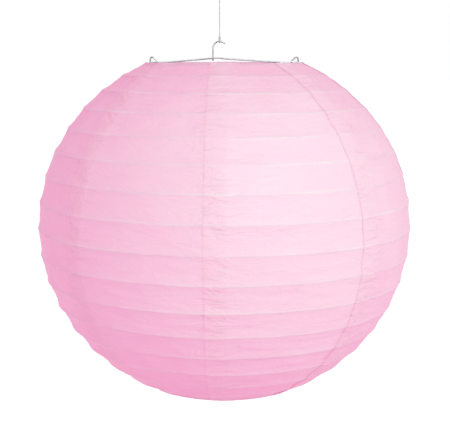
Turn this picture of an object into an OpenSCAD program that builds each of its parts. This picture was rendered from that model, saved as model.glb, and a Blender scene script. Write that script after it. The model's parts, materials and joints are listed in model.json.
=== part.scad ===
// Round paper lantern: paper gores over level wire hoops, held open by a bent-wire
// expander and hung by a hook from a clear line.
// The origin is the inside top of the line's hanging loop. +Z is up, -Y is the front.

/* [Shade] */
// Outside diameter of the paper over the widest hoop
shade_d = 300; // [260:5:340]
// Height of the paper's outline as a share of its width
shade_squash = 0.953; // [0.93:0.005:0.97]
// Latitude of the two rims on the outline, in degrees
rim_latitude = 65.3; // [64.5:0.1:66]
// Number of wire hoops between the rims
hoop_count = 15; // [9:2:15]
// How far the hoops crowd towards the rims, in degrees, which widens the middle bands
hoop_crowding = 0.9; // [0:0.1:1.5]
// Number of paper gores
gore_count = 8; // [6:1:9]
// Turn of the first gore's seam about the axis, in degrees
seam_turn = -92.5; // [-110:2.5:-70]

/* [Paper] */
// Thickness of the paper solid
paper_t = 0.3; // [0.3:0.05:0.5]
// How far the paper sinks inward between two hoops
paper_sag = 1.4; // [0.6:0.1:1.8]
// Space between the paper and the wires inside it
paper_gap = 0.25; // [0.2:0.05:0.3]

/* [Wires] */
// Diameter of the rib hoops' wire
hoop_wire = 0.8; // [0.6:0.1:1.2]
// Diameter of the two rim rings' wire
rim_wire = 1.4; // [1.2:0.1:1.6]
// Diameter of the expander's and the hook's wire
frame_wire = 1.3; // [1.1:0.1:1.4]
// Distance of each expander leg from the shade's axis
leg_x = 49; // [40:1:51]

/* [Hook] */
// Height of the hook's top over the top rim
hook_rise = 18; // [16:0.5:24]
// Bend radius of the hook
hook_bend = 5.3; // [4.5:0.1:6]
// Distance of the hanging line from the shade's axis
hook_offset = 3.7; // [2:0.1:5]

/* [Line] */
// Diameter of the clear line
line_d = 0.7; // [0.5:0.1:0.8]
// Height of the hanging point over the hook's top
line_rise = 48; // [44:1:60]

/* [Hidden] */
ROUND_FN = 96;
WIRE_FN = 32;

// Paper outline: an ellipse with a shallow inward sag in each band between two hoops
skin_r = shade_d / 2;
skin_h = skin_r * shade_squash;
band_count = hoop_count + 1;
band_angle = 2 * rim_latitude / band_count;
steps_per_band = 4;
gore_angle = 360 / gore_count;
seam_gap_angle = 0.15;

function skin(latitude, off) = [(skin_r + off) * cos(latitude), (skin_h + off) * sin(latitude)];
function band_latitude(i) =
    rim_latitude - i * band_angle + hoop_crowding * sin(360 * i / band_count);
function sag(u) = 4 * paper_sag * u * (1 - u);
function skin_line(off) = [
    for (k = [0:band_count * steps_per_band])
        skin(band_latitude(k / steps_per_band), off - sag((k % steps_per_band) / steps_per_band))
];
function reversed(list) = [for (i = [len(list) - 1:-1:0]) list[i]];

// Ring wires lie inside the paper, a gap away from it
function ring_place(i, wire) = skin(band_latitude(i), -paper_t - paper_gap - wire / 2);
top_ring = ring_place(0, rim_wire);
rim_r = top_ring.x;
rim_h = top_ring.y;

// Heights in the part's own frame
hook_z = -line_rise;
top_z = hook_z - hook_rise;
center_z = top_z - rim_h;
bottom_z = center_z - rim_h;
axis_x = hook_offset;

// Bent wires are lists of corners, [x, y, z, bend radius], with x from the shade's axis.
// The hook hangs in the plane y = 0, the crossing wire behind it, and the frame behind both.
frame_r = frame_wire / 2;
wire_step = frame_wire + 0.08;
cross_y = wire_step;
frame_y = 2 * wire_step;

// Frame: a tail, an eye over the rim, a foot under it, a leg and the bottom crossing
tail_end_x = 46.5;
eye_z = top_z + 1.3;
eye_outer_x = rim_r - 2.4;
eye_top_x = rim_r - 3.2;
eye_top_z = eye_z + 4.4;
eye_slope_x = rim_r - 5.2;
eye_slope_z = eye_z + 3.9;
eye_inner_x = rim_r - 9.6;
eye_bend = 0.95;
ear_x = rim_r - 2.1;
ear_bend = 1.2;
rest_x = rim_r + 2.4;
rest_z = top_z - rim_wire / 2 - paper_gap - frame_r;
hairpin_r = 1.3;
hairpin_h = 2.7;
shoulder_z = rest_z - hairpin_h;
leg_bend = 4;
nose_x = rim_r - rim_wire / 2 - 0.35 - frame_r;

// One side of the frame, from the end of its tail down to the bottom crossing
function frame_side(s) = [
    [s * tail_end_x, frame_y + wire_step, eye_z, 0],
    [s * eye_outer_x, frame_y + wire_step, eye_z, eye_bend],
    [s * eye_top_x, frame_y + 0.6 * wire_step, eye_top_z, eye_bend],
    [s * eye_slope_x, frame_y + 0.4 * wire_step, eye_slope_z, eye_bend],
    [s * eye_inner_x, frame_y, eye_z, eye_bend],
    [s * ear_x, frame_y, eye_z, ear_bend],
    [s * ear_x, frame_y, rest_z, ear_bend],
    [s * rest_x, frame_y, rest_z, hairpin_r],
    [s * rest_x, frame_y, shoulder_z, hairpin_r],
    [s * leg_x, frame_y, shoulder_z, leg_bend],
    [s * leg_x, frame_y, bottom_z + hairpin_h / 2, leg_bend],
    [s * nose_x, frame_y, bottom_z + hairpin_h / 2, hairpin_r],
    [s * nose_x, frame_y, bottom_z - hairpin_h / 2, hairpin_r],
];
frame_corners = concat(frame_side(-1), reversed(frame_side(1)));

// Crossing wire: its two ends turn down beside the legs and wrap round them under their shoulders
cross_end_x = leg_x - 1.5;
cross_end_z = top_z + 1.2;
peak_x = -5;
peak_z = top_z + 5;
dip_x = 1;
dip_z = top_z + 4.2;
wrap_z = shoulder_z - leg_bend - 0.7;
wrap_x = leg_x + wire_step;
function cross_side(s) = [
    [s * (leg_x - 2.5), frame_y + wire_step, wrap_z, 0],
    [s * wrap_x, frame_y + wire_step, wrap_z, wire_step],
    [s * wrap_x, cross_y, wrap_z, wire_step],
    [s * cross_end_x, cross_y, wrap_z, 1.3],
    [s * cross_end_x, cross_y, cross_end_z, 3],
];
cross_corners = concat(
    cross_side(-1),
    [[peak_x, cross_y, peak_z, 12], [dip_x, cross_y, dip_z, 12]],
    reversed(cross_side(1))
);

// Hook: a foot crimped round the crossing wire, a shank and an open bend
shank_x = -hook_offset - hook_bend;
foot_z = cross_end_z + (peak_z - cross_end_z) * (shank_x + cross_end_x) / (peak_x + cross_end_x);
crimp_h = 1.5;
tip_turn = 25;
tip_reach = hook_bend * tan(tip_turn / 2);
tip_length = tip_reach + 2.7;
hook_corners = [
    [shank_x, 2 * cross_y, foot_z + crimp_h, 0],
    [shank_x, 2 * cross_y, foot_z - cross_y, cross_y],
    [shank_x, 0, foot_z - cross_y, cross_y],
    [shank_x, 0, hook_z, hook_bend],
    [-hook_offset + tip_reach, 0, hook_z, hook_bend],
    [
        -hook_offset + tip_reach + tip_length * cos(tip_turn),
        0,
        hook_z - tip_length * sin(tip_turn),
        0,
    ],
];
wire_sides = 12;
bend_step = 15;

// Line: its loops, its knots and its straight run
line_r = line_d / 2;
hang_loop_r = 3.5 + line_r;
hook_loop_r = frame_r + 0.2 + line_r;
knot_turns = 4;
knot_r = 0.55;
knot_pitch = 0.6;
knot_h = (knot_turns - 1) * knot_pitch + line_d;
hang_knot_z = -3.5 - hang_loop_r - 2.25;
hook_knot_z = hook_z + hook_loop_r - 0.1;
line_route = [
    [0, 0, hang_knot_z],
    [0, 0, -12],
    [0, 0, -14],
    [0, 0, -16.5],
    [0, 0, -19],
    [0, 0, -21.5],
    [0, 0, -24],
    [0, 0, -26.5],
    [0, 0, -29],
    [0, 0, -31.5],
    [0, 0, -34],
    [0, 0, -36.5],
    [0, 0, -39],
    [0, 0, -41.5],
    [0, 0, hook_knot_z + knot_h],
];
line_sides = 8;

function two_digits(i) = str(i < 10 ? "0" : "", i);
HOOPS = [for (i = [1:hoop_count]) str("rib_hoop_", two_digits(i))];
GORES = [for (i = [1:gore_count]) str("paper_gore_", i)];

function unit(v) = v / norm(v);
function place(corner) = [corner[0], corner[1], corner[2]];

// The points of one rounded corner, evenly spaced on its arc
function rounded_corner(before, corner, after) =
    let (
        p = place(corner),
        u = unit(place(before) - p),
        v = unit(place(after) - p),
        turn = 180 - acos(u * v),
        start = p + u * corner[3] * tan(turn / 2),
        end = p + v * corner[3] * tan(turn / 2),
        center = p + unit(u + v) * corner[3] / cos(turn / 2),
        steps = ceil(turn / bend_step)
    )
    [
        for (k = [0:steps])
            let (t = turn * k / steps)
            center + (sin(turn - t) * (start - center) + sin(t) * (end - center)) / sin(turn)
    ];

// The centre line through corners, [x, y, z, bend radius] each, with its two ends as they are
function bent_line(corners) =
    let (
        last = len(corners) - 1,
        points = concat(
            [place(corners[0])],
            [
                for (i = [1:last - 1])
                    each rounded_corner(corners[i - 1], corners[i], corners[i + 1])
            ],
            [place(corners[last])]
        )
    )
    [for (i = [0:len(points) - 1]) if (i == 0 || norm(points[i] - points[i - 1]) > 0.01) points[i]];

// A round solid swept along points, with each ring turned on from the one before it
module swept_wire(points, wire, sides, first_normal) {
    last = len(points) - 1;
    tangents = [
        for (i = [0:last]) unit(points[min(i + 1, last)] - points[max(i - 1, 0)])
    ];
    normals = [
        for (
            i = 0, n = first_normal;
            i <= last;
            i = i + 1, n = i > last ? n : unit(n - (n * tangents[i]) * tangents[i])
        ) n
    ];
    ring_points = [
        for (i = [0:last], k = [0:sides - 1])
            let (a = 360 * k / sides)
            points[i] + wire / 2 * (cos(a) * normals[i] + sin(a) * cross(tangents[i], normals[i]))
    ];
    walls = [
        for (i = [0:last - 1], k = [0:sides - 1])
            let (next = (k + 1) % sides)
            [
                i * sides + k,
                (i + 1) * sides + k,
                (i + 1) * sides + next,
                i * sides + next,
            ]
    ];
    start_cap = [for (k = [0:sides - 1]) k];
    end_cap = [for (k = [sides - 1:-1:0]) last * sides + k];
    polyhedron(points = ring_points, faces = concat([start_cap], walls, [end_cap]), convexity = 6);
}

module wire_ring(radius, wire) {
    rotate_extrude($fn = ROUND_FN)
        translate([radius, 0])
            circle(d = wire, $fn = WIRE_FN);
}

// Wound turns of line round a solid core, standing up from the XY plane
module knot() {
    for (i = [0:knot_turns - 1])
        translate([0, 0, line_r + i * knot_pitch])
            wire_ring(knot_r, line_d);
    cylinder(h = knot_h, r = knot_r, $fn = WIRE_FN);
}

module line_hang_loop() {
    color([0.88, 0.9, 0.92, 0.6]) {
        translate([0, 0, -3.5])
            rotate([90, 0, 0])
                wire_ring(hang_loop_r, line_d);
        translate([0, 0, hang_knot_z])
            knot();
    }
}

module hanging_line() {
    color([0.88, 0.9, 0.92, 0.6])
        swept_wire(line_route, line_d, line_sides, [1, 0, 0]);
}

module line_hook_loop() {
    color([0.88, 0.9, 0.92, 0.6]) {
        translate([0, 0, hook_z])
            rotate([0, 90, 0])
                wire_ring(hook_loop_r, line_d);
        translate([0, 0, hook_knot_z])
            knot();
    }
}

module hanging_hook() {
    color([0.62, 0.62, 0.64])
        translate([axis_x, 0, 0])
            swept_wire(bent_line(hook_corners), frame_wire, wire_sides, [1, 0, 0]);
}

module crossing_wire() {
    color([0.6, 0.6, 0.62])
        translate([axis_x, 0, 0])
            swept_wire(bent_line(cross_corners), frame_wire, wire_sides, [0, 0, 1]);
}

module expander_frame() {
    color([0.6, 0.6, 0.62])
        translate([axis_x, 0, 0])
            swept_wire(bent_line(frame_corners), frame_wire, wire_sides, [0, 1, 0]);
}

module top_rim_ring() {
    color([0.6, 0.6, 0.62])
        translate([axis_x, 0, top_z])
            wire_ring(rim_r, rim_wire);
}

module bottom_rim_ring() {
    color([0.6, 0.6, 0.62])
        translate([axis_x, 0, bottom_z])
            wire_ring(rim_r, rim_wire);
}

module rib_hoop(i) {
    place = ring_place(i, hoop_wire);
    color([0.66, 0.66, 0.68])
        translate([axis_x, 0, center_z + place.y])
            wire_ring(place.x, hoop_wire);
}

module paper_gore(i) {
    color([0.97, 0.76, 0.87])
        translate([axis_x, 0, center_z])
            rotate([0, 0, seam_turn + (i - 1) * gore_angle + seam_gap_angle / 2])
                rotate_extrude(angle = gore_angle - seam_gap_angle, $fn = ROUND_FN)
                    polygon(concat(skin_line(0), reversed(skin_line(-paper_t))));
}

line_hang_loop();
hanging_line();
line_hook_loop();
hanging_hook();
crossing_wire();
expander_frame();
top_rim_ring();
bottom_rim_ring();
for (i = [1:hoop_count]) rib_hoop(i);
for (i = [1:gore_count]) paper_gore(i);
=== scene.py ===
"""A round paper lantern on a clear line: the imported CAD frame, with its paper, finishes and studio."""

import json
import math

import bpy
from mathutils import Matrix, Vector, noise

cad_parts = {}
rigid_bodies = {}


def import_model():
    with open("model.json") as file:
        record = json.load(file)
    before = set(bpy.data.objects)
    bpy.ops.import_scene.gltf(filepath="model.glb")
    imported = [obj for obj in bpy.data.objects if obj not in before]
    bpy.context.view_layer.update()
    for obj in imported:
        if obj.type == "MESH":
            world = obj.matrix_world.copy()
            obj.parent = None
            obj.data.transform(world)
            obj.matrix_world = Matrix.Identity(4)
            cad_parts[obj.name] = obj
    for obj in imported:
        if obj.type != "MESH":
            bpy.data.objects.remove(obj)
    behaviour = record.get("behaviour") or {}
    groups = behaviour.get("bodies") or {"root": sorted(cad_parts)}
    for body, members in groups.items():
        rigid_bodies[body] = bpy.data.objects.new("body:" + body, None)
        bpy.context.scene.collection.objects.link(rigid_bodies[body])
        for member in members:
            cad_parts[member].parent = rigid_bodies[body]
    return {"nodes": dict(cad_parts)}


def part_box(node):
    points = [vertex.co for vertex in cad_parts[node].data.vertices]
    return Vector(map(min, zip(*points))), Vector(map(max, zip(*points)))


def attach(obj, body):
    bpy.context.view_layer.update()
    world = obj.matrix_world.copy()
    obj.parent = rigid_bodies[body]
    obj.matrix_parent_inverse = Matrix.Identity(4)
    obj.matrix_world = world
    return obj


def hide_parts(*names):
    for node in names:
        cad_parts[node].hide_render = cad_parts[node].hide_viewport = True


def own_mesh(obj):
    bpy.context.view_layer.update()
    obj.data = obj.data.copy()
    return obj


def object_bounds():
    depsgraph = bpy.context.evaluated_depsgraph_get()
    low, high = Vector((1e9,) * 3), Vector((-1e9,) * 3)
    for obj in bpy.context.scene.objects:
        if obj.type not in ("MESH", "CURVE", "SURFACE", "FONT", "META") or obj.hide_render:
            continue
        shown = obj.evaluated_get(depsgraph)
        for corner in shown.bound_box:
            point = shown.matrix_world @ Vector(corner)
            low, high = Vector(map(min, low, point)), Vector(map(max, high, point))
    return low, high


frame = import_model()
cad_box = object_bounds()

MM = 0.001

# ---------------------------------------------------------------- what the frame gives
GORES = sorted(name for name in frame["nodes"] if name.startswith("paper_gore_"))
HOOPS = sorted(name for name in frame["nodes"] if name.startswith("rib_hoop_"))
LINE_LOOPS = ("line_hang_loop", "line_hook_loop")
BENT_WIRES = ("hanging_hook", "crossing_wire", "expander_frame")
RIM_RINGS = ("top_rim_ring", "bottom_rim_ring")


def middle(name):
    """The middle of a CAD node's box."""
    low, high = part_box(name)
    return (Vector(low) + Vector(high)) / 2


def ring_radius(name):
    """The radius of a wire ring's centre line."""
    low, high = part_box(name)
    return (high[1] - low[1] - (high[2] - low[2])) / 2


paper_low = [min(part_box(name)[0][k] for name in GORES) for k in range(3)]
paper_high = [max(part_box(name)[1][k] for name in GORES) for k in range(3)]
axis_x = middle("top_rim_ring").x
top_z = middle("top_rim_ring").z
bottom_z = middle("bottom_rim_ring").z
center_z = (top_z + bottom_z) / 2
rim_r = ring_radius("top_rim_ring")

# ---------------------------------------------------------------- paper's driving dimensions
SQUASH = 0.953  # height of the outline as a share of its width
SEAM_TURN = math.radians(-92.5)  # the first gore's seam
SEAM_SHIFTS = (0, 2.4, 0.6, -0.8, 0.5, -0.6, 0.8, 0)  # degrees by which each seam is off its place
SEAM_FADE = 13 * MM  # how far from a seam its wrinkles have mostly faded
OVERLAP = 16 * MM  # how far two gores lap
LAP_LIFT = 0.3 * MM  # how far the upper gore stands off the lower one
LAP_SLOPE = 0.35  # share of the lap's width in which the upper gore comes down beyond the lap
RAGGED = 0.5 * MM  # how far a cut edge strays from its line
RAGGED_REACH = 3 * MM  # how far in from the edge the paper strays with it
RAGGED_PER_BAND = 2.3  # how often it strays from one hoop to the next
GORE_APART = 9.1  # gores are this far apart in the noise, so that no two edges stray alike
BAND_APART = 0.1  # bands are this far apart in the noise that varies the slack
SAG = 1.1 * MM  # how far the paper sinks between two hoops
SLACK_LEFT = 0.25  # share by which it sinks more on the left, and less on the right
SLACK_LOW = 0.25  # share by which it sinks more at the bottom, and less at the top
SAG_VARIATION = 0.45  # share by which it varies from patch to patch
FLATNESS = 2.7  # 2 is an even curve between two hoops, and more is flatter with sharper ribs
HEM_WIDTH = 4 * MM  # how far the folded end runs down inside the skin
HEM_LIFT = 0.03 * MM  # how far it stands off the skin on the outside
HEM_DEPTH = 0.35 * MM  # how far inside the skin the folded end lies
HEM_LAP = 5 * MM  # how far two hems lap
HEM_INNER_R = 0.9 * MM  # radius of the fold about the rim's wire
HEM_PLEAT = 0.06 * MM  # depth of the small pleats round the fold
HEM_OUTSIDE = (1.2, 0.8, 0.4)  # millimetres below the rim of the hem's rows outside the skin
HEM_INSIDE = 2 * MM  # how far below the rim its rows inside the skin start
HEM_CREASING = 0.6  # how much it creases, where 1 is as much as at a seam
STRAIGHT_DOWN = 1.5 * math.pi  # the angle at which the fold ends
FOLD_STEPS = 14  # steps of the hem round the rim's wire
INSIDE_STEPS = 4  # steps of the hem down the inside
ROWS_PER_BAND = 14
INNER_COLUMNS = 34
LAP_COLUMNS = (0, 0.4, 1, 2, 3.5, 5.5, 8, 10.5, 13, 16)  # millimetres in from a gore's edge

# Each kind of wrinkle: its width, its height, and where it is read from in the noise.
PUCKERS = (15 * MM, 3.2 * MM, 3.0)
WAVES = (40 * MM, 14 * MM, 11.0)
STREAKS = (36 * MM, 4.5 * MM, 53.0)
STREAK_PATCHES = (60 * MM, 45 * MM, 41.0)
CREASES = (34 * MM, 9 * MM, 23.0)
SLACK_PATCHES = (90 * MM, 40 * MM, 7.0)
HEM_PLEATS = (5 * MM, 1, 31.0)
PUCKER_DEPTH = 0.5 * MM
WAVE_DEPTH = 0.3 * MM
CREASE_DEPTH = 0.3 * MM
STREAK_DEPTH = 0.75 * MM
STREAKS_AT_MIDDLE = 0.5  # how much the streaks show halfway up the shade
STREAKS_LOW = 0.6  # how much more they show low down, and less high up
STREAK_PATCHINESS = 1.1  # how much patches with them and patches without them differ
CREASE_NARROWNESS = 2.4
CREASES_AWAY = 0.35  # share of a crease's depth that is left away from the seams
CREASE_SLANT = 0.2  # height of the long waves that slant the creases, as a share of the radius
CREASE_WAVES = 5  # how many of those waves go round the shade
CREASE_TURN = 0.6  # where the first one starts, in radians
HELD_BY_RIB = 0.15  # share of the wrinkles that is left on a hoop

# How deep the pink is, before the mottle adds to it.
TONE = 0.12
TONE_SPREAD = 0.08  # by how much the gores differ
TONE_STEP = 2.5  # radians of a sine wave from one gore to the next
TONE_START = 1.6  # radians of it before the first gore
TOP_DEEPENING = 0.5  # how much deeper it is at the top rim
BOTTOM_PAINTED_SHADE = 0.62  # and at the bottom rim, as painted shade on the underside

# How much of each extra colour shows, at most, and how wide it is.
# Painted shadow along each gore's pasted edge, where it lies on the gore beside it.
PASTE_SHADOW_SHARE = 0.4
PASTE_SHADOW_WIDTH = 0.8 * MM
# Paler ribs: a painted highlight along each hoop's crest, partly paste on the wire.
RIB_HIGHLIGHT_SHARE = 0.5
RIB_HIGHLIGHT_WIDTH = 0.7 * MM
# Brighter pink where two gores lap: painted light against the second layer's shade, and their fuller
# colour.
LAP_PAINTED_LIGHT_SHARE = 0.45
LAP_PAINTED_LIGHT_BLUR = 3 * MM

skin_r = (paper_high[1] - paper_low[1]) / 2
skin_h = skin_r * SQUASH
rim_latitude = math.asin((paper_high[2] - paper_low[2]) / 2 / skin_h)
band_count = len(HOOPS) + 1
gore_angle = 2 * math.pi / len(GORES)
hoop_inset = skin_r - max(ring_radius(name) for name in HOOPS)
edge_from_wire = math.hypot(  # from the middle of the rim's wire to the skin's edge
    skin_r * math.cos(rim_latitude) - rim_r,
    skin_h * math.sin(rim_latitude) - (top_z - center_z),
)


def hoop_latitude(name):
    """The latitude at which a hoop holds the paper out, from its size and height."""
    height = middle(name).z - center_z
    return math.atan2(height / (skin_h - hoop_inset), ring_radius(name) / (skin_r - hoop_inset))


crests = [rim_latitude, *(hoop_latitude(name) for name in HOOPS), -rim_latitude]
band_height = skin_r * (crests[0] - crests[1])  # of the band next to a rim

# ---------------------------------------------------------------- camera
CAMERA_BACK = 0.88  # in front of the shade's axis
CAMERA_UP = 0.137  # above the shade's middle
CAMERA_ASIDE = 0.0006  # to the right of the shade's axis
AIM_UP = 0.0055  # the point it looks at, above the shade's middle
VIEW_WIDTH = 0.367425  # what it takes in from side to side, at the shade's axis
VIEW_REACH = 100  # how far away it still sees
SENSOR_W = 36


def make_camera():
    data = bpy.data.cameras.new("camera")
    camera = bpy.data.objects.new("camera", data)
    bpy.context.collection.objects.link(camera)
    place = Vector((axis_x + CAMERA_ASIDE, -CAMERA_BACK, center_z + CAMERA_UP))
    aim = Vector((axis_x + CAMERA_ASIDE, 0, center_z + AIM_UP))
    camera.location = place
    camera.rotation_euler = (aim - place).to_track_quat("-Z", "Y").to_euler()
    data.sensor_width = SENSOR_W
    data.lens = (aim - place).length / VIEW_WIDTH * SENSOR_W
    data.clip_end = VIEW_REACH
    bpy.context.scene.camera = camera


# ---------------------------------------------------------------- node materials
def new_material(name):
    """(material, its nodes, its links), with nothing in it."""
    material = bpy.data.materials.new(name)
    material.use_nodes = True
    tree = material.node_tree
    tree.nodes.clear()
    return material, tree.nodes, tree.links


def object_coordinates(nodes, links, scale=(1, 1, 1)):
    """Object coordinates, in metres, with each one multiplied by its scale."""
    coordinates = nodes.new("ShaderNodeTexCoord")
    mapping = nodes.new("ShaderNodeMapping")
    mapping.inputs["Scale"].default_value = scale
    links.new(coordinates.outputs["Object"], mapping.inputs["Vector"])
    return mapping.outputs["Vector"]


def noise_node(nodes, links, vector, scale, detail=4, roughness=0.55, distortion=0):
    """Noise from 0 to 1, with about scale features to a metre."""
    texture = nodes.new("ShaderNodeTexNoise")
    texture.inputs["Scale"].default_value = scale
    texture.inputs["Detail"].default_value = detail
    texture.inputs["Roughness"].default_value = roughness
    texture.inputs["Distortion"].default_value = distortion
    links.new(vector, texture.inputs["Vector"])
    return texture.outputs["Fac"]


def ramp(nodes, links, factor, *stops):
    """Colours against a factor; each stop is (position, colour)."""
    node = nodes.new("ShaderNodeValToRGB")
    elements = node.color_ramp.elements
    while len(elements) < len(stops):
        elements.new(0.5)
    for element, (position, colour) in zip(elements, stops):
        element.position = position
        element.color = (*colour, 1)
    links.new(factor, node.inputs["Fac"])
    return node.outputs["Color"]


def calculate(nodes, links, operation, *values):
    """One Math node; each value is a socket or a number."""
    node = nodes.new("ShaderNodeMath")
    node.operation = operation
    for socket, value in zip(node.inputs, values):
        if isinstance(value, (int, float)):
            socket.default_value = value
        else:
            links.new(value, socket)
    return node.outputs["Value"]


def blend_colours(nodes, links, factor, a, b):
    """a at factor 0 and b at factor 1."""
    node = nodes.new("ShaderNodeMix")
    node.data_type = "RGBA"
    sockets = {socket.identifier: socket for socket in node.inputs}
    links.new(factor, sockets["Factor_Float"])
    for socket, value in ((sockets["A_Color"], a), (sockets["B_Color"], b)):
        if isinstance(value, tuple):
            socket.default_value = (*value, 1)
        else:
            links.new(value, socket)
    return {socket.identifier: socket for socket in node.outputs}["Result_Color"]


def mesh_value(nodes, name):
    """A value stored on the mesh's points."""
    node = nodes.new("ShaderNodeAttribute")
    node.attribute_name = name
    return node.outputs["Fac"]


def bump_node(nodes, links, height, distance, strength=1.0, after=None):
    """A normal tilted by the slopes of height, on top of the normal called after."""
    node = nodes.new("ShaderNodeBump")
    node.inputs["Distance"].default_value = distance
    node.inputs["Strength"].default_value = strength
    links.new(height, node.inputs["Height"])
    if after is not None:
        links.new(after, node.inputs["Normal"])
    return node.outputs["Normal"]


def finish_material(nodes, links, shader):
    output = nodes.new("ShaderNodeOutputMaterial")
    links.new(shader, output.inputs["Surface"])


PALE_PINK = (0.93, 0.47, 0.7)
MID_PINK = (0.925, 0.44, 0.68)
DEEP_PINK = (0.91, 0.37, 0.625)
THROUGH_PALE = (0.91, 0.43, 0.67)
THROUGH_DEEP = (0.89, 0.34, 0.6)
# Painted highlight along the ribs, partly paler paste on the wire.
RIB_HIGHLIGHT_PINK = (0.94, 0.62, 0.79)
# Painted light that brightens the lap against the second layer's shade.
LAP_PAINTED_LIGHT_PINK = (1.0, 0.47, 0.72)
# Painted shadow along the pasted edges.
PASTE_SHADOW_PINK = (0.88, 0.34, 0.58)
THROUGH_SHARE = 0.3  # share of the paper's look that is light from behind it
MOTTLE = 0.35  # how far the clouds, and then the fibres, carry the pink from pale to deep
BREAKS = (3.2, -1.2)  # gain and offset that break up the painted rib highlights and the painted shadow at the pasted edges
CROWDING = (0.5, 0.4)  # how much more the paper creases at a seam, and how much it does anywhere
FOLD_SHARPNESS = 11
PAPER_GLOSS = (0.2, 0.36)  # how far the clouds vary the roughness, and its lowest value


def paper_creases(nodes, links, vector):
    """Heights of thin folds that wander over the paper, from 0 in a fold to 1 away from it."""
    wander = noise_node(nodes, links, vector, scale=30, detail=3, roughness=0.6, distortion=1.1)
    off_fold = calculate(nodes, links, "ABSOLUTE", calculate(nodes, links, "SUBTRACT", wander, 0.5))
    risen = calculate(nodes, links, "MULTIPLY", off_fold, FOLD_SHARPNESS)
    return calculate(nodes, links, "MINIMUM", risen, 1)


def paper_material():
    """Thin crinkled paper with a slight shine: faint clouds of fibre, fine grain, folds that crowd
    about the seams, a brighter pink where two gores lap, partly their fuller colour and partly
    painted light against the shade of the second layer, paler ribs with a painted highlight along
    each, partly paste on the wire, and a painted shadow along the pasted edges."""
    material, nodes, links = new_material("pink_paper")
    plain = object_coordinates(nodes, links)
    clouds = noise_node(nodes, links, plain, scale=40, detail=4, distortion=0.4)
    lying = object_coordinates(nodes, links, scale=(1, 1, 4))
    fibres = noise_node(nodes, links, lying, scale=380, detail=3, roughness=0.7)
    grain = noise_node(nodes, links, plain, scale=1600, detail=2)
    near_seam = mesh_value(nodes, "near_seam")

    mottle = calculate(nodes, links, "MULTIPLY_ADD", clouds, MOTTLE, mesh_value(nodes, "tone"))
    mottle = calculate(nodes, links, "MULTIPLY_ADD", fibres, MOTTLE, mottle)
    front = ramp(nodes, links, mottle, (0.2, PALE_PINK), (0.5, MID_PINK), (0.8, DEEP_PINK))
    behind = ramp(nodes, links, mottle, (0.2, THROUGH_PALE), (0.8, THROUGH_DEEP))
    # Where two gores lap: painted light against the second layer's shade.
    front = blend_colours(nodes, links, mesh_value(nodes, "lap"), front, LAP_PAINTED_LIGHT_PINK)
    # Noise that breaks up the painted rib highlights and the painted shadow at the pasted edges.
    stretches = noise_node(nodes, links, plain, scale=22, detail=2)
    broken = calculate(nodes, links, "MULTIPLY_ADD", stretches, *BREAKS)
    # Paler ribs: a painted highlight on each crest, partly paste on the wire.
    rib = calculate(nodes, links, "MULTIPLY", mesh_value(nodes, "rib"), broken)
    front = blend_colours(nodes, links, rib, front, RIB_HIGHLIGHT_PINK)
    # Painted shadow along each gore's pasted edge.
    patchy_paste_shadow = calculate(nodes, links, "MULTIPLY", mesh_value(nodes, "paste_shadow"), broken)
    front = blend_colours(nodes, links, patchy_paste_shadow, front, PASTE_SHADOW_PINK)

    crowding = calculate(nodes, links, "MULTIPLY_ADD", near_seam, *CROWDING)
    crosswise = object_coordinates(nodes, links, scale=(1, 1, 3))
    creases = calculate(nodes, links, "MULTIPLY", paper_creases(nodes, links, crosswise), crowding)
    crinkle = noise_node(nodes, links, crosswise, scale=45, detail=4, roughness=0.6, distortion=0.7)
    crinkle = calculate(nodes, links, "MULTIPLY", crinkle, crowding)
    normal = bump_node(nodes, links, creases, distance=0.35 * MM, strength=0.8)
    normal = bump_node(nodes, links, crinkle, distance=1.9 * MM, strength=0.8, after=normal)
    normal = bump_node(nodes, links, fibres, distance=0.05 * MM, strength=0.5, after=normal)
    normal = bump_node(nodes, links, grain, distance=0.02 * MM, strength=0.5, after=normal)

    surface = nodes.new("ShaderNodeBsdfPrincipled")
    surface.inputs["Specular IOR Level"].default_value = 0.5
    links.new(front, surface.inputs["Base Color"])
    gloss = calculate(nodes, links, "MULTIPLY_ADD", clouds, *PAPER_GLOSS)
    links.new(gloss, surface.inputs["Roughness"])
    links.new(normal, surface.inputs["Normal"])
    through = nodes.new("ShaderNodeBsdfTranslucent")
    links.new(behind, through.inputs["Color"])
    links.new(normal, through.inputs["Normal"])
    mix = nodes.new("ShaderNodeMixShader")
    mix.inputs["Fac"].default_value = THROUGH_SHARE
    links.new(surface.outputs["BSDF"], mix.inputs[1])
    links.new(through.outputs["BSDF"], mix.inputs[2])
    finish_material(nodes, links, mix.outputs["Shader"])
    return material


DULL_STEEL = (0.33, 0.37, 0.37)
BRIGHT_STEEL = (0.58, 0.64, 0.64)
WIRE_GLOSS = (0.16, 0.32)  # how far the marks vary the roughness, and its lowest value


def wire_material():
    """Drawn steel wire, a little uneven in colour and polish, with fine marks from the die."""
    material, nodes, links = new_material("bright_wire")
    plain = object_coordinates(nodes, links)
    patches = noise_node(nodes, links, plain, scale=160, detail=4)
    marks = noise_node(nodes, links, plain, scale=2600, detail=2, roughness=0.7)
    surface = nodes.new("ShaderNodeBsdfPrincipled")
    surface.inputs["Metallic"].default_value = 1
    colour = ramp(nodes, links, patches, (0.35, DULL_STEEL), (0.65, BRIGHT_STEEL))
    links.new(colour, surface.inputs["Base Color"])
    polish = calculate(nodes, links, "MULTIPLY_ADD", marks, *WIRE_GLOSS)
    links.new(polish, surface.inputs["Roughness"])
    normal = bump_node(nodes, links, marks, distance=0.02 * MM, strength=0.6)
    links.new(normal, surface.inputs["Normal"])
    finish_material(nodes, links, surface.outputs["BSDF"])
    return material


CLOUDY_NYLON = (0.6, 0.61, 0.63)
CLEAR_NYLON = (0.75, 0.76, 0.78)
NYLON_GLOSS = (0.12, 0.12)  # how far the marks vary the roughness, and its lowest value


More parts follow.
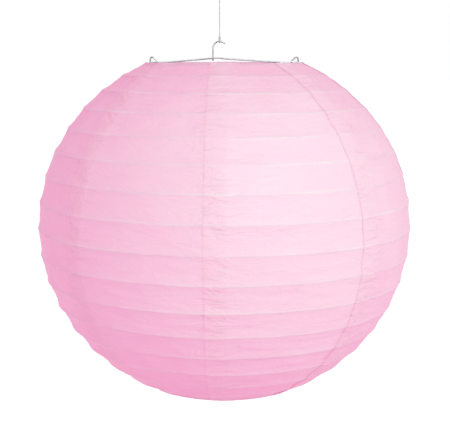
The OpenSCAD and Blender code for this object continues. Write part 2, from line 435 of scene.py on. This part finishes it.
def line_material():
    """Clear nylon line: half see-through, with faint cloudy drawing marks along it."""
    material, nodes, links = new_material("clear_line")
    stretched = object_coordinates(nodes, links, scale=(1, 1, 0.15))
    streaks = noise_node(nodes, links, stretched, scale=1500, detail=3)
    surface = nodes.new("ShaderNodeBsdfPrincipled")
    surface.inputs["Transmission Weight"].default_value = 0.45
    surface.inputs["IOR"].default_value = 1.5
    colour = ramp(nodes, links, streaks, (0.35, CLOUDY_NYLON), (0.65, CLEAR_NYLON))
    links.new(colour, surface.inputs["Base Color"])
    polish = calculate(nodes, links, "MULTIPLY_ADD", streaks, *NYLON_GLOSS)
    links.new(polish, surface.inputs["Roughness"])
    finish_material(nodes, links, surface.outputs["BSDF"])
    return material


def dress(obj, material):
    """Puts one material on the whole object."""
    if not obj.data.materials:
        obj.data.materials.append(material)
    for slot in obj.material_slots:
        slot.material = material


# ---------------------------------------------------------------- hanging line
LINE_D = 0.7 * MM
LINE_ROUTE = (
    (0, 0, -0.0444),
    (0, 0, -0.0415),
    (0, 0, -0.039),
    (0, 0, -0.0365),
    (0, 0, -0.034),
    (0, 0, -0.0315),
    (0, 0, -0.029),
    (0, 0, -0.0265),
    (0, 0, -0.024),
    (0, 0, -0.0215),
    (0, 0, -0.019),
    (0, 0, -0.0165),
    (0, 0, -0.014),
    (0, 0, -0.012),
    (0, 0, -0.0096),
)


def make_line(material):
    """The taut clear line, from the knot over the hook to the knot under its hanging loop."""
    curve = bpy.data.curves.new("hanging_line_clear", "CURVE")
    curve.dimensions = "3D"
    curve.bevel_depth = LINE_D / 2
    curve.bevel_resolution = 4
    curve.use_fill_caps = True
    spline = curve.splines.new("POLY")
    spline.points.add(len(LINE_ROUTE) - 1)
    for point, place in zip(spline.points, LINE_ROUTE):
        point.co = (*place, 1)
    line = bpy.data.objects.new("hanging_line_clear", curve)
    bpy.context.collection.objects.link(line)
    curve.materials.append(material)
    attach(line, "line")
    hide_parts("hanging_line")


# ---------------------------------------------------------------- paper
def smooth_step(x):
    """0 up to x = 0, 1 from x = 1 on, and a smooth rise between them."""
    x = min(max(x, 0.0), 1.0)
    return x * x * (3 - 2 * x)


def bell(distance, width):
    """1 at distance 0, fading to almost nothing at twice the width."""
    return math.exp(-((distance / width) ** 2))


def stretched_noise(theta, height, across, up, start):
    """Noise on the shade with features across metres wide and up metres tall, from -1 to 1."""
    turn = skin_r / across
    place = Vector((math.cos(theta) * turn + start, math.sin(theta) * turn, height / up))
    return noise.noise(place)


def seam_angle(index):
    """Where a gore starts. index may be 8, which is the first gore again, a turn further on."""
    return SEAM_TURN + index * gore_angle + math.radians(SEAM_SHIFTS[index % len(GORES)])


def from_seam(theta):
    """The angle to the nearest seam."""
    seams = (seam_angle(index) for index in range(len(GORES)))
    return min(abs(math.remainder(theta - seam, 2 * math.pi)) for seam in seams)


def seam_share(theta, latitude):
    """1 on a seam, fading to 0 a couple of centimetres away."""
    return bell(from_seam(theta) * skin_r * math.cos(latitude), SEAM_FADE)


def wrinkles(theta, latitude, u):
    """How far the paper stands out from its smooth form: crosswise puckers along the seams,
    slack waves between the hoops, patches of level streaks, most of them low down, and a few
    slanting creases."""
    height = skin_h * math.sin(latitude)
    near_seam = seam_share(theta, latitude)
    free = HELD_BY_RIB + (1 - HELD_BY_RIB) * 4 * u * (1 - u)
    puckers = near_seam * stretched_noise(theta, height, *PUCKERS)
    waves = stretched_noise(theta, height, *WAVES)
    patchiness = STREAK_PATCHINESS * stretched_noise(theta, height, *STREAK_PATCHES)
    patch = smooth_step(STREAKS_AT_MIDDLE - STREAKS_LOW * math.sin(latitude) + patchiness)
    streaks = patch * stretched_noise(theta, height, *STREAKS)
    slant = height + CREASE_SLANT * skin_r * math.sin(CREASE_WAVES * theta + CREASE_TURN)
    crease = 1 - abs(stretched_noise(theta, slant, *CREASES)) * CREASE_NARROWNESS
    crease = max(crease, 0) ** 3 * (CREASES_AWAY + (1 - CREASES_AWAY) * near_seam)
    out = PUCKER_DEPTH * puckers + WAVE_DEPTH * waves + CREASE_DEPTH * crease + STREAK_DEPTH * streaks
    return free * out


def latitude_at(v):
    """The latitude at v bands down from the top rim."""
    band = min(int(v), band_count - 1)
    return crests[band] + (crests[band + 1] - crests[band]) * (v - band)


def skin_point(theta, v, lift):
    """(radius, height) of the paper at v bands down from the top rim, lift metres out."""
    latitude = latitude_at(v)
    u = v % 1
    patch = stretched_noise(theta, int(v) * BAND_APART, *SLACK_PATCHES)
    slack = 1 - SLACK_LEFT * math.cos(theta) - SLACK_LOW * math.sin(latitude) + SAG_VARIATION * patch
    sag = SAG * slack * (1 - abs(2 * u - 1) ** FLATNESS)
    out = lift - sag + wrinkles(theta, latitude, u)
    return (skin_r + out) * math.cos(latitude), center_z + (skin_h + out) * math.sin(latitude)


def on_shade(theta, radius, height):
    """A point about the shade's axis. The angle theta starts at the right and goes to the back."""
    return Vector((axis_x + radius * math.cos(theta), radius * math.sin(theta), height))


def make_grid(name, rows, values):
    """A smooth open sheet from rows of points, with named values for each point."""
    width = len(rows[0])
    faces = []
    for r in range(len(rows) - 1):
        for c in range(width - 1):
            corner = r * width + c
            faces.append((corner, corner + width, corner + width + 1, corner + 1))
    mesh = bpy.data.meshes.new(name)
    mesh.from_pydata([point for row in rows for point in row], [], faces)
    mesh.polygons.foreach_set("use_smooth", [True] * len(mesh.polygons))
    for key in values[0]:
        layer = mesh.attributes.new(key, "FLOAT", "POINT")
        layer.data.foreach_set("value", [point[key] for point in values])
    mesh.update()
    obj = bpy.data.objects.new(name, mesh)
    bpy.context.collection.objects.link(obj)
    return obj


def gore_columns(start, end, radius, lap, steps):
    """(angle, metres in from the gore's own left edge) of each column of points in one row."""
    half = lap / 2 / radius
    left, right = start - half, end + half
    edge = [mm * MM * lap / OVERLAP for mm in LAP_COLUMNS]
    columns = [left + inset / radius for inset in edge]
    inner_left, inner_right = columns[-1], right - edge[-1] / radius
    columns += [inner_left + (inner_right - inner_left) * k / steps for k in range(1, steps)]
    columns += [right - inset / radius for inset in reversed(edge)]
    return [(theta, (theta - left) * radius) for theta in columns]


def band_rows():
    """Places down the paper, in bands from the top rim, closest together beside the hoops."""
    places = [
        band + 0.5 - 0.5 * math.cos(math.pi * step / ROWS_PER_BAND)
        for band in range(band_count)
        for step in range(ROWS_PER_BAND)
    ]
    return places + [float(band_count)]


def lap_lift(inset, lap):
    """The left edge of each gore lies on its neighbour, and comes down to its own level beyond."""
    return LAP_LIFT * (1 - smooth_step((inset - lap) / (LAP_SLOPE * lap)))


def tone_at(index, latitude):
    """How deep the pink is: a little deeper or paler from gore to gore, and darker towards the rims,
    lower down most of all, where the darkening is painted shade on the underside."""
    towards_rim = abs(latitude) / rim_latitude
    top, bottom = TOP_DEEPENING * towards_rim**3, BOTTOM_PAINTED_SHADE * towards_rim**2
    of_gore = TONE + TONE_SPREAD * math.sin(TONE_STEP * index - TONE_START)
    return of_gore + (top if latitude > 0 else bottom)


def point_values(index, inset, latitude, u, near_seam):
    """What the paper's finish needs to know at one point."""
    from_rib = min(u, 1 - u) * band_height
    return {
        # painted shadow along the gore's pasted edge
        "paste_shadow": PASTE_SHADOW_SHARE * bell(inset, PASTE_SHADOW_WIDTH),
        # painted highlight along each rib, partly paste on the wire
        "rib": RIB_HIGHLIGHT_SHARE * bell(from_rib, RIB_HIGHLIGHT_WIDTH),
        # painted light where two gores lap, against the second layer's shade
        "lap": LAP_PAINTED_LIGHT_SHARE * (1 - smooth_step((inset - OVERLAP + LAP_PAINTED_LIGHT_BLUR / 2) / LAP_PAINTED_LIGHT_BLUR)),
        "near_seam": near_seam,
        "tone": tone_at(index, latitude),
    }


def stray(index, v, inset):
    """How far a gore's cut left edge strays sideways, v bands down."""
    if inset >= RAGGED_REACH:
        return 0.0
    return RAGGED * noise.noise(Vector((index * GORE_APART, v * RAGGED_PER_BAND, 0)))


def make_gore(index):
    """One gore of the skin, from rim to rim, lapped over the gore to its left."""
    start, end = seam_angle(index), seam_angle(index + 1)
    rows, values = [], []
    for v in band_rows():
        latitude = latitude_at(v)
        radius = skin_r * math.cos(latitude)
        row = []
        for theta, inset in gore_columns(start, end, radius, OVERLAP, INNER_COLUMNS):
            theta += stray(index, v, inset) / radius
            row.append(on_shade(theta, *skin_point(theta, v, lap_lift(inset, OVERLAP))))
            near_seam = seam_share(theta, latitude)
            values.append(point_values(index, inset, latitude, v % 1, near_seam))
        rows.append(row)
    return make_grid(f"paper_gore_{index + 1}_skin", rows, values)


def hem_line(side, theta, over):
    """The (radius, height) points across one hem: over the skin's edge, round the rim's wire,
    drawing in to the fold's own radius halfway round, and a little way down the inside. over is
    how far it stands off the hem under it."""
    rim_z = top_z if side > 0 else bottom_z
    pleat = HEM_PLEAT * stretched_noise(theta, 0, *HEM_PLEATS)
    off = HEM_LIFT + pleat + over

    def down(metres):
        share = metres / band_height
        return share if side > 0 else band_count - share

    line = [skin_point(theta, down(mm * MM), off) for mm in HEM_OUTSIDE]
    for step in range(FOLD_STEPS + 1):
        turn = step / FOLD_STEPS
        angle = rim_latitude + turn * (STRAIGHT_DOWN - rim_latitude)
        tuck = smooth_step(turn * 2)
        around = (edge_from_wire + off) * (1 - tuck) + (HEM_INNER_R + over / 2) * tuck
        line.append((rim_r + around * math.cos(angle), rim_z + side * around * math.sin(angle)))
    for step in range(INSIDE_STEPS + 1):
        metres = HEM_INSIDE + (HEM_WIDTH - HEM_INSIDE) * step / INSIDE_STEPS
        line.append(skin_point(theta, down(metres), over / 2 - HEM_DEPTH))
    return line


def make_hem(index, side):
    """The end of one gore, folded in over the rim's wire. side is 1 at the top rim and -1 at the
    bottom one."""
    columns = gore_columns(seam_angle(index), seam_angle(index + 1), rim_r, HEM_LAP, INNER_COLUMNS)
    lines = [hem_line(side, theta, lap_lift(inset, HEM_LAP)) for theta, inset in columns]
    row_values = [point_values(index, inset, rim_latitude, 0.5, HEM_CREASING) for _, inset in columns]
    rows = []
    for place in range(len(lines[0])):
        rows.append([on_shade(theta, *line[place]) for (theta, _), line in zip(columns, lines)])
    if side < 0:
        rows = [row[::-1] for row in rows]
        row_values.reverse()
    where = "top" if side > 0 else "bottom"
    return make_grid(f"paper_gore_{index + 1}_{where}_hem", rows, row_values * len(rows))


def make_paper(material):
    """The gores and their folded ends. Each gore rides with the lantern, and each hem stays on
    its rim."""
    for index, name in enumerate(GORES):
        skin = make_gore(index)
        hems = [make_hem(index, side) for side in (1, -1)]
        for piece, body in zip([skin, *hems], ("lantern", "lantern", "bottom_rim")):
            dress(piece, material)
            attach(piece, body)
        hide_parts(name)
        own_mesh(skin)


# ---------------------------------------------------------------- studio
FLOOR_DROP = 1.3  # below the lantern's lowest point
FLOOR_REACH = 60  # from the middle to each side
FLOOR_GLOW = 0.2  # light that it gives back from below
PALE_GREY = (0.9, 0.9, 0.9)
NEAR_WHITE = (0.93, 0.93, 0.93)
KEY_TINT = (0.2, 1.0, 0.47)  # washes the pink out towards white where the light is brightest


def make_floor():
    material, nodes, links = new_material("pale_floor")
    plain = object_coordinates(nodes, links)
    patches = noise_node(nodes, links, plain, scale=3)
    surface = nodes.new("ShaderNodeBsdfPrincipled")
    surface.inputs["Roughness"].default_value = 0.9
    surface.inputs["Specular IOR Level"].default_value = 0.1
    surface.inputs["Emission Color"].default_value = (1, 1, 1, 1)
    surface.inputs["Emission Strength"].default_value = FLOOR_GLOW
    colour = ramp(nodes, links, patches, (0.3, PALE_GREY), (0.7, NEAR_WHITE))
    links.new(colour, surface.inputs["Base Color"])
    finish_material(nodes, links, surface.outputs["BSDF"])
    mesh = bpy.data.meshes.new("floor")
    corners = [(x * FLOOR_REACH, y * FLOOR_REACH, 0) for x, y in ((-1, -1), (1, -1), (1, 1), (-1, 1))]
    mesh.from_pydata(corners, [], [(0, 1, 2, 3)])
    floor = bpy.data.objects.new("floor", mesh)
    bpy.context.collection.objects.link(floor)
    floor.location.z = cad_box[0][2] - FLOOR_DROP
    mesh.materials.append(material)


def soft_light(name, azimuth, elevation, distance, size, power, colour=(1, 1, 1)):
    """A round soft light that faces the shade's middle. Azimuth 0 is the front, and 90 the right."""
    data = bpy.data.lights.new(name, "AREA")
    data.shape = "DISK"
    data.size = size
    data.energy = power
    data.color = colour
    light = bpy.data.objects.new(name, data)
    bpy.context.collection.objects.link(light)
    a, e = math.radians(azimuth), math.radians(elevation)
    direction = Vector((math.sin(a) * math.cos(e), -math.cos(a) * math.cos(e), math.sin(e)))
    target = Vector((axis_x, 0, center_z))
    light.location = target + direction * distance
    light.rotation_euler = (-direction).to_track_quat("-Z", "Y").to_euler()
    light.visible_camera = False
    return light


def make_studio():
    """A white room, a tinted key light on the paper alone, and a neutral one that only glints."""
    world = bpy.data.worlds.new("white_room")
    world.use_nodes = True
    background = world.node_tree.nodes["Background"]
    background.inputs["Color"].default_value = (1, 1, 1, 1)
    background.inputs["Strength"].default_value = 1.0
    bpy.context.scene.world = world
    key = soft_light("key", azimuth=29, elevation=25, distance=1.5, size=1.0, power=26, colour=KEY_TINT)
    key.visible_glossy = False
    glint = soft_light("glint", azimuth=24, elevation=34, distance=1.5, size=0.6, power=9)
    glint.visible_diffuse = False
    glint.visible_transmission = False
    lit = bpy.data.collections.new("lit_by_key")
    bpy.context.scene.collection.children.link(lit)
    for obj in bpy.data.objects:
        if obj.name.startswith("paper_gore_") and obj.type == "MESH":
            lit.objects.link(obj)
    key.light_linking.receiver_collection = lit


# ---------------------------------------------------------------- build
make_camera()
clear = line_material()
make_line(clear)
for name in LINE_LOOPS:
    dress(frame["nodes"][name], clear)
bright = wire_material()
for name in (*BENT_WIRES, *RIM_RINGS, *HOOPS):
    dress(frame["nodes"][name], bright)
make_paper(paper_material())
make_floor()
make_studio()

bpy.context.scene.view_settings.view_transform = "Standard"
